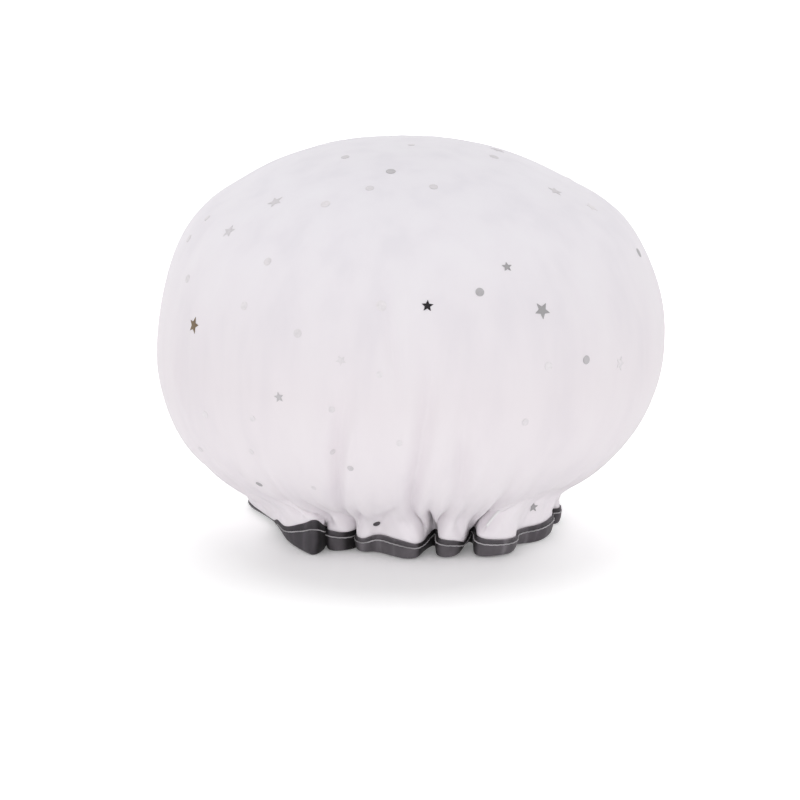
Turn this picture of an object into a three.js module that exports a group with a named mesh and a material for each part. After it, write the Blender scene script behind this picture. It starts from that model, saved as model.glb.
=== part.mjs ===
// A puffed shower cap standing on its gathered hem, in millimetres.
// +Z is up, the front faces -Y, and the origin is the middle of the hem's foot.
// Two round cloths, a starred cover and a waterproof liner, are gathered together into a folded binding
// tape that is drawn in by an elastic strip. Foil stars and dots lie scattered over the cover.
import * as THREE from 'three';

// Crown
const CAP_RADIUS = 124; // widest part of the puffed crown
const MIDDLE_HEIGHT = 91; // height of the widest part above the hem's foot
const CROWN_RISE = 92; // from the widest part up to the crown's centre
const CROWN_FULLNESS = 2.2; // 2 is an ellipse, more gives squarer shoulders
const BOWL_FULLNESS = 2.25; // the same for the bowl below the widest part
const HEM_RADIUS = 77; // middle of the hem between its gathers, with the elastic relaxed
const NECK_RISE = 8; // cloth standing straight above the binding before it puffs out
const NECK_FLARE = 7; // how far up and out the bend from the neck into the bowl reaches

// Cloths, and the room between pieces that lie against each other
const COVER_THICKNESS = 0.5;
const LINER_THICKNESS = 0.4;
const CLEARANCE = 0.3;

// Elastic strip inside the hem, its ends lapped at the back
const ELASTIC_WIDTH = 5;
const ELASTIC_THICKNESS = 0.8;
const ELASTIC_LAP = 14;

// Binding tape, folded over the cloth edges, its ends lapped at the back
const BINDING_HEIGHT = 10.5;
const TAPE_THICKNESS = 0.35;
const TURNED_EDGE = 3.8; // tape turned in along each long edge
const FOLD_BEVEL = 0.6; // rounding of the tape's fold at the foot
const TAPE_LAP = 12;
const LAP_STEP = 0.6; // length over which the lapped tape steps up

// Topstitch through both sides of the binding
const STITCH_DROP = 3.5; // stitch line below the binding's top edge
const STITCH_SINK = 0.3; // how deep the tape is pulled in along the stitch line
const STITCH_PULL = 0.6; // how far above and below the line the tape is pulled in
const THREAD_DIAMETER = 0.5;
const THREAD_SIDES = 5;

// Gathers: azimuth from the front in degrees, depth at the hem, and how far up the cloth the fold runs
const GATHER_HALF_WIDTH = 9.5; // along the hem
const GATHER_LIFT = 0.45; // rise of the hem in a gather, for each millimetre of its depth
const GATHERS = [
  [-165, 6.5, 72],
  [-149, 7.5, 88],
  [-130, 6.5, 74],
  [-113, 7, 84],
  [-95, 5, 36],
  [-79, 6, 44],
  [-62, 5, 40],
  [-35, 7, 46],
  [-18, 6, 84],
  [0, 2.5, 112],
  [11, 7, 76],
  [28, 6, 44],
  [45, 3, 30],
  [73, 6, 46],
  [90, 5, 40],
  [109, 7, 86],
  [127, 6.5, 70],
  [148, 7.5, 90],
  [165, 6.5, 72],
];

// Foils on the front: kind, azimuth in degrees, percent of the way from crown to hem, size and roll
const FOIL_THICKNESS = 0.2;
const STAR_WAIST = 0.45; // inner corners of a star, as a share of its reach
const DOT_SIDES = 8;
const FRONT_FOILS = [
  ['dot', -45, 15, 4, 0],
  ['dot', -9, 19, 4.5, 0],
  ['dot', -15, 25, 4, 0],
  ['dot', 10, 24, 4, 0],
  ['dot', 67, 16, 4.5, 0],
  ['star', 64, 29, 7.5, 12],
  ['star', 70, 35, 6.5, 40],
  ['star', -48, 31, 8, 5],
  ['dot', -28, 30, 4.5, 0],
  ['star', -55, 39, 7.5, 28],
  ['dot', -74, 43, 4, 0],
  ['dot', -36, 43, 4, 0],
  ['dot', -62, 49, 4, 0],
  ['dot', -39, 51, 4, 0],
  ['star', -54, 56, 8, 8],
  ['dot', -6, 49, 5, 0],
  ['star', 4, 49, 5.5, 0],
  ['star', 24, 43, 5, 20],
  ['dot', 16, 47, 4, 0],
  ['star', 30, 51, 8, -8],
  ['dot', 75, 46, 4.5, 0],
  ['dot', 40, 60, 4, 0],
  ['star', 51, 62, 7, 30],
  ['dot', 30, 60, 4, 0],
  ['star', -14, 58, 5, 16],
  ['star', -28, 65, 5, -14],
  ['dot', 25, 69, 3.5, 0],
  ['dot', -42, 85, 3.5, 0],
  ['star', 48, 95, 5, 24],
  ['dot', -11, 96, 3.5, 0],
];

// Foils round the back, spread evenly by a loop; every third one is a star
const BACK_FOILS = 22;
const BACK_AZIMUTH = [95, 265];
const BACK_REACH = [14, 88];
const BACK_STAR_SIZE = 7.5;
const BACK_DOT_SIZE = 4;
const GOLDEN_SHARE = 0.618;

// Places that follow from the sizes above
const NECK_HEIGHT = BINDING_HEIGHT + NECK_RISE;
const FLARE_FOOT = NECK_HEIGHT - Math.min(NECK_FLARE, NECK_RISE);
const ELASTIC_FOOT = TAPE_THICKNESS + CLEARANCE;
const ELASTIC_TOP = ELASTIC_FOOT + ELASTIC_WIDTH;
const CLOTH_EDGE = ELASTIC_TOP + CLEARANCE;
const COVER_INSIDE = CLEARANCE / 2;
const COVER_OUTSIDE = COVER_INSIDE + COVER_THICKNESS;
const LINER_OUTSIDE = -CLEARANCE / 2;
const LINER_INSIDE = LINER_OUTSIDE - LINER_THICKNESS;
const CHANNEL_HALF = ELASTIC_THICKNESS + 1.5 * CLEARANCE;
const STITCH_HEIGHT = BINDING_HEIGHT - STITCH_DROP;
const BACK_DEGREES = -180;

// Rings of points round the cloths: percent of the way from crown to hem, and points in the ring.
// The rings below the widest part have three points to a gather, or five in the neck.
const CROWN_RINGS = [[5, 10], [13, 20], [22, 28], [32, 36], [42, 36], [52, 36], [62, 36]];
const FOLD_RINGS = [71, 80, 87.5];
const MERIDIAN_STEPS = 60;
const FLARE_STEPS = 8;

const { degToRad, radToDeg, smoothstep } = THREE.MathUtils;
const UP = new THREE.Vector3(0, 0, 1);

const hemDegrees = (length) => radToDeg(length / HEM_RADIUS);

/** The turn from one azimuth to another, between -180 and 180 degrees. */
function turnBetween(from, to) {
  const turn = (to - from + 180) % 360;
  return turn < 0 ? turn + 180 : turn - 180;
}

/** A smooth hump, 1 in the middle and level with zero beyond one half-width. */
function hump(across) {
  return Math.abs(across) < 1 ? (1 + Math.cos(Math.PI * across)) / 2 : 0;
}

/** How far the gathers draw the cloth in, at an azimuth and a height. */
function drawnIn(azimuth, height) {
  let depth = 0;
  for (const [at, deep, run] of GATHERS) {
    const across = turnBetween(at, azimuth) / hemDegrees(GATHER_HALF_WIDTH);
    const fade = smoothstep(height, BINDING_HEIGHT, BINDING_HEIGHT + run);
    depth += deep * hump(across) * (1 - fade);
  }
  return depth;
}

/** Height of the bowl below the widest part, at a radius. */
function bowlHeight(radius) {
  const fall = (at) => (1 - (at / CAP_RADIUS) ** BOWL_FULLNESS) ** (1 / BOWL_FULLNESS);
  return MIDDLE_HEIGHT - ((MIDDLE_HEIGHT - NECK_HEIGHT) * fall(radius)) / fall(HEM_RADIUS);
}

/** The bend from the bowl down into the neck, as radius and height. */
function neckFlare() {
  const out = HEM_RADIUS + NECK_FLARE;
  return new THREE.QuadraticBezierCurve(
    new THREE.Vector2(out, bowlHeight(out)),
    new THREE.Vector2(HEM_RADIUS, NECK_HEIGHT),
    new THREE.Vector2(HEM_RADIUS, FLARE_FOOT),
  );
}

/** The cap's outline from the crown's centre to the cloths' edge, as radius and height. */
function meridian() {
  const power = 2 / CROWN_FULLNESS;
  const outline = [new THREE.Vector2(0, MIDDLE_HEIGHT + CROWN_RISE)];
  for (let step = 1; step < MERIDIAN_STEPS; step += 1) {
    const turn = (step / MERIDIAN_STEPS) * (Math.PI / 2);
    const radius = CAP_RADIUS * Math.sin(turn) ** power;
    outline.push(new THREE.Vector2(radius, MIDDLE_HEIGHT + CROWN_RISE * Math.cos(turn) ** power));
  }
  const bowlTurn = Math.acos((HEM_RADIUS + NECK_FLARE) / CAP_RADIUS);
  for (let step = 0; step < MERIDIAN_STEPS; step += 1) {
    const radius = CAP_RADIUS * Math.cos((step / MERIDIAN_STEPS) * bowlTurn);
    outline.push(new THREE.Vector2(radius, bowlHeight(radius)));
  }
  outline.push(...neckFlare().getPoints(FLARE_STEPS), new THREE.Vector2(HEM_RADIUS, CLOTH_EDGE));
  return new THREE.Path(outline);
}

const MERIDIAN = meridian();

/** Percent of the way from crown to hem at which the flare starts and ends. */
function flareReaches() {
  const straight = FLARE_FOOT - CLOTH_EDGE;
  const flare = neckFlare().getLength();
  return [straight + flare, straight].map((left) => 100 * (1 - left / MERIDIAN.getLength()));
}

/** A point at a radius and a height, drawn in and lifted by the gathers. */
function gatheredPoint(azimuth, radius, height) {
  const drawn = drawnIn(azimuth, height);
  const turn = degToRad(azimuth);
  const out = radius - drawn;
  return new THREE.Vector3(out * Math.sin(turn), -out * Math.cos(turn), height + GATHER_LIFT * drawn);
}

/** A point midway between the two cloths. */
function clothPoint(azimuth, reach) {
  const { x: radius, y: height } = MERIDIAN.getPoint(reach / 100);
  return gatheredPoint(azimuth, radius, height);
}

/** The outward direction of the cloths at a point. */
function clothNormal(azimuth, reach) {
  if (reach === 0) return UP.clone();
  const aside = 0.5;
  const along = 0.2;
  const round = clothPoint(azimuth + aside, reach).sub(clothPoint(azimuth - aside, reach));
  const upward = clothPoint(azimuth, reach - along).sub(clothPoint(azimuth, Math.min(100, reach + along)));
  return round.cross(upward).normalize();
}

/** A point on one face of a cloth, measured outward from midway between the cloths. */
function clothFace(azimuth, reach, outward) {
  return clothPoint(azimuth, reach).addScaledVector(clothNormal(azimuth, reach), outward);
}

/** A point in the hem, at a height above its foot and outward from its middle. */
function hemPoint(azimuth, outward, height) {
  const aside = 0.5;
  const hemAt = (turn) => gatheredPoint(azimuth + turn, HEM_RADIUS, 0);
  const middle = hemAt(0);
  const round = hemAt(aside).sub(hemAt(-aside));
  const out = round.cross(UP).normalize();
  return middle.addScaledVector(out, outward).addScaledVector(UP, height);
}

/** Azimuths round the hem from the back, at shares of a half-width either side of every gather. */
function gatherAzimuths(shares, extra = []) {
  const closest = 1;
  const halfWidth = hemDegrees(GATHER_HALF_WIDTH);
  const offsets = GATHERS.flatMap(([at]) => shares.map((share) => at + share * halfWidth));
  const sorted = [BACK_DEGREES, ...offsets.map((azimuth) => turnBetween(0, azimuth))].sort((a, b) => a - b);
  const spaced = sorted.filter((azimuth, i) => i === 0 || azimuth - sorted[i - 1] > closest);
  return [...spaced, ...extra].sort((a, b) => a - b);
}

/** Evenly spaced azimuths from the back. */
function evenAzimuths(count) {
  return Array.from({ length: count }, (_, i) => BACK_DEGREES + (i * 360) / count);
}

/** Points and triangles that become one closed mesh. */
class Skin {
  points = [];

  faces = [];

  add(point) {
    this.points.push(point.x, point.y, point.z);
    return this.points.length / 3 - 1;
  }

  addRing(azimuths, place) {
    const corners = azimuths.map((azimuth) => this.add(place(azimuth)));
    return { azimuths, corners };
  }

  face(a, b, c, flipped = false) {
    this.faces.push(a, flipped ? c : b, flipped ? b : c);
  }

  /** Fills the band between a lower and an upper ring that may differ in their number of points. */
  zip(lower, upper, flipped) {
    const corner = (ring, i) => ring.corners[i % ring.corners.length];
    const azimuth = (ring, i) => (i < ring.azimuths.length ? ring.azimuths[i] : BACK_DEGREES + 360);
    let low = 0;
    let high = 0;
    while (low < lower.corners.length || high < upper.corners.length) {
      const lowerTurn = low < lower.corners.length ? azimuth(lower, low + 1) : Infinity;
      const upperTurn = high < upper.corners.length ? azimuth(upper, high + 1) : Infinity;
      if (lowerTurn <= upperTurn) {
        this.face(corner(lower, low), corner(lower, low + 1), corner(upper, high), flipped);
        low += 1;
      } else {
        this.face(corner(lower, low), corner(upper, high + 1), corner(upper, high), flipped);
        high += 1;
      }
    }
  }

  /** Joins two sections of a strip, whose points run round the same way. */
  bridge(from, to) {
    from.forEach((_, i) => {
      const next = (i + 1) % from.length;
      this.face(from[i], to[i], from[next]);
      this.face(to[i], to[next], from[next]);
    });
  }

  geometry() {
    const geometry = new THREE.BufferGeometry();
    geometry.setAttribute('position', new THREE.Float32BufferAttribute(this.points, 3));
    geometry.setIndex(this.faces);
    geometry.computeVertexNormals();
    return geometry;
  }
}

const HEM_SHARES = [-1, -0.5, 0, 0.5, 1];
const FOLD_SHARES = [-1, 0, 1];

/** The rings of a cloth from its edge in the hem up to its crown. */
function clothRings() {
  const hemAzimuths = gatherAzimuths(HEM_SHARES);
  const foldAzimuths = gatherAzimuths(FOLD_SHARES);
  const rings = CROWN_RINGS.map(([reach, count]) => [reach, evenAzimuths(count)]);
  const [flareTop, flareFoot] = flareReaches();
  [...FOLD_RINGS, flareTop].forEach((reach) => rings.push([reach, foldAzimuths]));
  [flareFoot, 100].forEach((reach) => rings.push([reach, hemAzimuths]));
  return rings.reverse();
}

/** A gathered cloth between two distances outward from midway between the cloths. */
function clothGeometry(inside, outside) {
  const skin = new Skin();
  const edges = [outside, inside].map((outward) => {
    const flipped = outward === inside;
    const rings = clothRings().map(([reach, azimuths]) => (
      skin.addRing(azimuths, (azimuth) => clothFace(azimuth, reach, outward))
    ));
    rings.slice(1).forEach((upper, i) => skin.zip(rings[i], upper, flipped));
    const last = rings.at(-1).corners;
    const crown = skin.add(clothFace(0, 0, outward));
    last.forEach((corner, i) => skin.face(corner, last[(i + 1) % last.length], crown, flipped));
    return rings[0];
  });
  skin.zip(edges[1], edges[0]);
  return skin.geometry();
}

/** Distance from the middle of the hem to the outside of the tape, on the side of a cloth's outer face. */
function tapeFace(clothSurface) {
  const roundCloth = clothSurface + CLEARANCE + 2 * TAPE_THICKNESS;
  return Math.max(roundCloth, CHANNEL_HALF + TAPE_THICKNESS);
}

const OUTER_FACE = tapeFace(COVER_OUTSIDE);
const INNER_FACE = tapeFace(-LINER_INSIDE);

/** Extra tape where the ends lap at the back. */
function lapThickness(azimuth) {
  const fromBack = Math.abs(turnBetween(BACK_DEGREES, azimuth));
  return fromBack <= hemDegrees(TAPE_LAP / 2) ? TAPE_THICKNESS : 0;
}

/** One side of the folded tape, from the middle of its foot up and over to the channel, as [out, height]. */
function tapeSide(face, lap) {
  const outside = face + lap;
  const turnedFoot = BINDING_HEIGHT - TURNED_EDGE;
  return [
    [outside - FOLD_BEVEL, 0],
    [outside, FOLD_BEVEL],
    [outside, STITCH_HEIGHT - STITCH_PULL],
    [outside - STITCH_SINK, STITCH_HEIGHT],
    [outside, STITCH_HEIGHT + STITCH_PULL],
    [outside, BINDING_HEIGHT],
    [face - 2 * TAPE_THICKNESS, BINDING_HEIGHT],
    [face - 2 * TAPE_THICKNESS, turnedFoot],
    [face - TAPE_THICKNESS, turnedFoot - TAPE_THICKNESS],
    [face - TAPE_THICKNESS, TAPE_THICKNESS],
  ];
}

/** The whole section of the folded tape at an azimuth, running anticlockwise. */
function tapeSection(azimuth) {
  const lap = lapThickness(azimuth);
  const outer = tapeSide(OUTER_FACE, lap);
  const inner = tapeSide(INNER_FACE, lap).map(([out, height]) => [-out, height]);
  return [...outer, ...inner.reverse()];
}

/** Azimuths of the hem's sections, with a close pair at each end of the tape's lap. */
function hemAzimuths() {
  const ends = [-1, 1].flatMap((side) => [
    BACK_DEGREES + side * hemDegrees(TAPE_LAP / 2),
    BACK_DEGREES + side * hemDegrees(TAPE_LAP / 2 + LAP_STEP),
  ]);
  return gatherAzimuths(HEM_SHARES, ends.map((azimuth) => turnBetween(0, azimuth)));
}

/** A closed ring round the hem with a section that may change on the way. */
function hemRingGeometry(sectionAt) {
  const skin = new Skin();
  const sections = hemAzimuths().map((azimuth) => (
    sectionAt(azimuth).map(([outward, height]) => skin.add(hemPoint(azimuth, outward, height)))
  ));
  sections.forEach((section, i) => skin.bridge(section, sections[(i + 1) % sections.length]));
  return skin.geometry();
}

/** The section of a thread that lies along the stitch line, on the outer or the inner side. */
function threadSection(azimuth, side) {
  const face = side > 0 ? OUTER_FACE : INNER_FACE;
  const radius = THREAD_DIAMETER / 2;
  const middle = face + lapThickness(azimuth) - STITCH_SINK + CLEARANCE + radius;
  return Array.from({ length: THREAD_SIDES }, (_, i) => {
    const turn = (i / THREAD_SIDES) * 2 * Math.PI;
    return [side * middle + radius * Math.cos(turn), STITCH_HEIGHT + radius * Math.sin(turn)];
  });
}

/** How far the elastic steps aside, out at its first end and in at its last, where they pass each other. */
function elasticShift(azimuth) {
  const aside = (ELASTIC_THICKNESS + CLEARANCE) / 2;
  const lap = hemDegrees(ELASTIC_LAP / 2);
  const front = BACK_DEGREES + 180;
  const leaveFirst = smoothstep(azimuth, BACK_DEGREES + lap, BACK_DEGREES + 2 * lap);
  const reachLast = smoothstep(azimuth, BACK_DEGREES + 360 - 2 * lap, BACK_DEGREES + 360 - lap);
  return azimuth < front ? aside * (1 - leaveFirst) : -aside * reachLast;
}

/** The stations of the elastic, from its first end at the back once round and past that end. */
function elasticAzimuths() {
  const lap = hemDegrees(ELASTIC_LAP / 2);
  const ends = [BACK_DEGREES - lap, BACK_DEGREES + 360 + lap];
  const steps = [lap, 2 * lap, 360 - 2 * lap, 360 - lap].map((turn) => BACK_DEGREES + turn);
  const round = [-360, 0, 360].flatMap((turns) => hemAzimuths().map((azimuth) => azimuth + turns));
  const between = [...round, ...steps].filter((azimuth) => azimuth > ends[0] && azimuth < ends[1]);
  return [...ends, ...between].sort((a, b) => a - b);
}

/** The elastic strip, a little more than once round the hem. */
function elasticGeometry() {
  const half = ELASTIC_THICKNESS / 2;
  const skin = new Skin();
  const sections = elasticAzimuths().map((azimuth) => {
    const shift = elasticShift(azimuth);
    return [
      [shift - half, ELASTIC_FOOT],
      [shift + half, ELASTIC_FOOT],
      [shift + half, ELASTIC_TOP],
      [shift - half, ELASTIC_TOP],
    ].map(([outward, height]) => skin.add(hemPoint(azimuth, outward, height)));
  });
  sections.slice(1).forEach((section, i) => skin.bridge(sections[i], section));
  const [start, end] = [sections[0], sections.at(-1)];
  skin.face(start[0], start[1], start[2]);
  skin.face(start[0], start[2], start[3]);
  skin.face(end[0], end[2], end[1]);
  skin.face(end[0], end[3], end[2]);
  return skin.geometry();
}

/** A flat five-pointed star. */
function starGeometry(size) {
  const corners = Array.from({ length: 10 }, (_, i) => {
    const reach = (size / 2) * (i % 2 ? STAR_WAIST : 1);
    const turn = Math.PI / 2 + (i * Math.PI) / 5;
    return new THREE.Vector2(reach * Math.cos(turn), reach * Math.sin(turn));
  });
  return new THREE.ExtrudeGeometry(new THREE.Shape(corners), { depth: FOIL_THICKNESS, bevelEnabled: false });
}

/** A flat round dot. */
function dotGeometry(size) {
  const disc = new THREE.CylinderGeometry(size / 2, size / 2, FOIL_THICKNESS, DOT_SIDES);
  return disc.rotateX(Math.PI / 2).translate(0, 0, FOIL_THICKNESS / 2);
}

/** The foils of the back, spread by turning a golden share of the back from one to the next. */
function backFoils() {
  const within = ([low, high], share) => low + share * (high - low);
  return Array.from({ length: BACK_FOILS }, (_, i) => {
    const kind = i % 3 === 0 ? 'star' : 'dot';
    const size = kind === 'star' ? BACK_STAR_SIZE : BACK_DOT_SIZE;
    const azimuth = within(BACK_AZIMUTH, (i * GOLDEN_SHARE) % 1);
    const reach = within(BACK_REACH, (i + 0.5) / BACK_FOILS);
    return [kind, azimuth, reach, size, azimuth];
  });
}

const FINISHES = {
  cover: new THREE.MeshStandardMaterial({ color: 0xe9e6e9, roughness: 0.85, metalness: 0 }),
  liner: new THREE.MeshStandardMaterial({ color: 0xf3f2f3, roughness: 0.45, metalness: 0 }),
  binding: new THREE.MeshStandardMaterial({ color: 0x585358, roughness: 0.75, metalness: 0 }),
  elastic: new THREE.MeshStandardMaterial({ color: 0xededea, roughness: 0.8, metalness: 0 }),
  thread: new THREE.MeshStandardMaterial({ color: 0xc4c0c4, roughness: 0.6, metalness: 0 }),
  foil: new THREE.MeshStandardMaterial({ color: 0xa3a2a6, roughness: 0.3, metalness: 0.9 }),
};

function piece(name, geometry, finish) {
  const mesh = new THREE.Mesh(geometry, finish);
  mesh.name = name;
  return mesh;
}

/** Where a line straight down onto the cover, through a point, first meets it. */
function meetCover(cover, point, outward) {
  const from = point.clone().addScaledVector(outward, CAP_RADIUS / 4);
  const [meeting] = new THREE.Raycaster(from, outward.clone().negate()).intersectObject(cover);
  return meeting;
}

/** Lays a foil along the cloth, just clear of the highest cloth under its corners. */
function layFoil(foil, cover, azimuth, reach, roll) {
  const { point: place, face } = meetCover(cover, clothPoint(azimuth, reach), clothNormal(azimuth, reach));
  foil.quaternion.setFromUnitVectors(UP, face.normal);
  foil.rotateZ(degToRad(roll));
  const corners = foil.geometry.getAttribute('position');
  let rise = 0;
  for (let i = 0; i < corners.count; i += 1) {
    const corner = new THREE.Vector3(corners.getX(i), corners.getY(i), 0);
    corner.applyQuaternion(foil.quaternion).add(place);
    const under = meetCover(cover, corner, face.normal).point;
    rise = Math.max(rise, under.sub(corner).dot(face.normal));
  }
  foil.position.copy(place).addScaledVector(face.normal, rise + CLEARANCE);
  return foil;
}

/** All the foils, numbered within their kind. */
function foils(cover) {
  const counts = { star: 0, dot: 0 };
  const shapes = { star: starGeometry, dot: dotGeometry };
  return [...FRONT_FOILS, ...backFoils()].map(([kind, azimuth, reach, size, roll]) => {
    counts[kind] += 1;
    const name = `foil_${kind}_${String(counts[kind]).padStart(2, '0')}`;
    const foil = piece(name, shapes[kind](size), FINISHES.foil);
    return layFoil(foil, cover, azimuth, reach, roll);
  });
}

const cover = piece('outer_cover', clothGeometry(COVER_INSIDE, COVER_OUTSIDE), FINISHES.cover);
const liner = piece('waterproof_liner', clothGeometry(LINER_INSIDE, LINER_OUTSIDE), FINISHES.liner);
const binding = piece('hem_binding', hemRingGeometry(tapeSection), FINISHES.binding);
const elastic = piece('hem_elastic', elasticGeometry(), FINISHES.elastic);
const needleThread = piece(
  'needle_thread',
  hemRingGeometry((azimuth) => threadSection(azimuth, 1)),
  FINISHES.thread,
);
const bobbinThread = piece(
  'bobbin_thread',
  hemRingGeometry((azimuth) => threadSection(azimuth, -1)),
  FINISHES.thread,
);

const showerCap = new THREE.Group();
showerCap.add(cover, liner, binding, elastic, needleThread, bobbinThread, ...foils(cover));

export default showerCap;
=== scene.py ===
"""A puffed shower cap standing on its gathered hem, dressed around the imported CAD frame, in metres."""
import math

import bmesh
import bpy
import numpy as np
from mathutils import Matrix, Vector, noise
from mathutils.bvhtree import BVHTree


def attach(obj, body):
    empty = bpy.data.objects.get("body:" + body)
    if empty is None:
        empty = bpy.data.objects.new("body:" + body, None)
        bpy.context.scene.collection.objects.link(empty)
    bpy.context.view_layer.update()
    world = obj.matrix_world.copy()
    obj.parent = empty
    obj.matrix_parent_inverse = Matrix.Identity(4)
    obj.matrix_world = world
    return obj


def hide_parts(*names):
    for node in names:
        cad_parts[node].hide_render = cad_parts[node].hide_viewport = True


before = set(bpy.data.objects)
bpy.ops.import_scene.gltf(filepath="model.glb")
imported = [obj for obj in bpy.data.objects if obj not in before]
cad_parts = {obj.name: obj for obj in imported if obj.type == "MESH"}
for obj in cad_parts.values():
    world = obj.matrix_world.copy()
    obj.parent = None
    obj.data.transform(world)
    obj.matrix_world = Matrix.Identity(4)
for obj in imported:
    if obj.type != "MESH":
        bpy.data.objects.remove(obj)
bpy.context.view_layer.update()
scene = bpy.context.scene

MM = 0.001

# Camera: the photograph's viewing angle and framing
PICTURE_SIDE = 800
PIXEL = 0.495 * MM  # what one pixel spans at the cap's middle
CAMERA_DISTANCE = 1.3
CAMERA_ELEVATION = math.radians(14)
ORIGIN_PIXEL = (408.0, 510.5)  # where the middle of the hem's foot shows

# Crown, bowl and neck, as in the CAD
CAP_RADIUS = 124 * MM
MIDDLE_HEIGHT = 91 * MM
CROWN_RISE = 92 * MM
CROWN_FULLNESS = 2.2
BOWL_FULLNESS = 2.25
HEM_RADIUS = 77 * MM
BINDING_HEIGHT = 10.5 * MM
NECK_RISE = 8 * MM
NECK_FLARE = 7 * MM
FLARE_STEPS = 24
BOWL_STEPS = 400
CROWN_STEPS = 240

# Cloths: each is cut as a disc, and its edge lies inside the binding
COVER_THICKNESS = 0.4 * MM
LINER_THICKNESS = 0.3 * MM
CLOTH_GAP = 0.2 * MM
CLOTH_COLUMNS = 660
CLOTH_ROWS = 71
EVEN_ROWS = 0.35  # the share of the rows' spacing that is even
ROW_CROWDING = 1.6
TUCKED_ROWS = 3
TUCKED_DEPTH = 4.5 * MM  # how far the cloths reach down into the binding
MOUTH_PINCH = 0.6  # how much of their thickness the cloths keep there

# Binding, its topstitch and its elastic
HEM_COLUMNS = 1320
HEM_SMOOTHING = 1.0 * MM
MIDDLE_PULL = 5  # weight of nearness to the middle, in finding the hem's start
HALF_BINDING = 1.0 * MM  # from the middle of the hem to the tape's outside
BINDING_BULGE = 0.6 * MM  # how far it bulges outward halfway down
FOOT_LIFT = 1.6  # how far a leaning foot is raised, in half-bindings
TAPE_THICKNESS = 0.35 * MM
TAPE_LAP = 12 * MM  # over which the tape's ends lie on each other at the back
STITCH_FALL = 0.27  # how far down the binding the stitch line runs, as a share of its height
GROOVE = 0.05  # half the width over which the tape sinks there, as the same share
STITCH_LENGTH = 2.8 * MM
STITCH_SINK = 0.25 * MM
STITCH_PULSE = 0.25  # the share of it that pulses with the stitches
THREAD_RADIUS = 0.27 * MM
THREAD_SIDES = 6
THREAD_BED = 0.4  # the share of the sink that it lies in
THREAD_STAND = 0.8  # how far it stands off the tape, in radii
THREAD_DIP = 1.1  # and how far it dips at needle holes
DIP_SHARPNESS = 6
ELASTIC_HALF = 0.3 * MM
ELASTIC_LAP = 14 * MM
ELASTIC_SHIFT = 0.33 * MM  # how far each end steps aside where they pass each other
ELASTIC_FALL = (0.5, 0.94)  # its two edges, as shares of the way down the binding
ELASTIC_BEVEL = 0.05  # the share of its width over which each edge thins
ELASTIC_RIB = 1.2 * MM
RIB_DEPTH = 0.16  # half the share of thickness lacking between ribs

# Half of the binding's section from its foot, up the outside and down to the channel for the elastic: a share
# of half its thickness outward, and a share of the way down from its top
TAPE_FACE = [
    (0.0, 1.0), (0.45, 0.985), (0.8, 0.95), (0.97, 0.89), (1.0, 0.8), (1.02, 0.65), (1.02, 0.5), (1.0, 0.37),
    (0.97, STITCH_FALL + GROOVE), (1.0, STITCH_FALL), (0.97, STITCH_FALL - GROOVE), (1.0, 0.14), (1.0, 0.04),
    (0.85, 0.0), (0.55, 0.01),
]
TAPE_CHANNEL = [(0.5, 0.2), (0.55, 0.42), (0.7, 0.48), (0.7, 0.8), (0.45, 0.93)]

# Shade painted into the binding's colour: light from outside that its folds keep off it, and painted shade on
# the right-hand sides of its lobes
LIGHT_REACH = 30 * MM  # how far off a fold still takes light away
LIGHT_START = 0.4 * MM
LIGHT_NEAREST = 0.02  # folds within this share of the reach don't count
LIGHT_ANGLES = np.radians(np.arange(-72, 73, 16))
LIGHT_STEP = 4  # columns between the folds looked at
LIGHT_SPREAD = 3  # columns, for smoothing
PAINTED_FLANK_SHADE = 0.9  # how much painted shade darkens the right-hand sides
PAINTED_FLANK_LIGHT = 1.2  # they darken by what they lack of this

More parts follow.
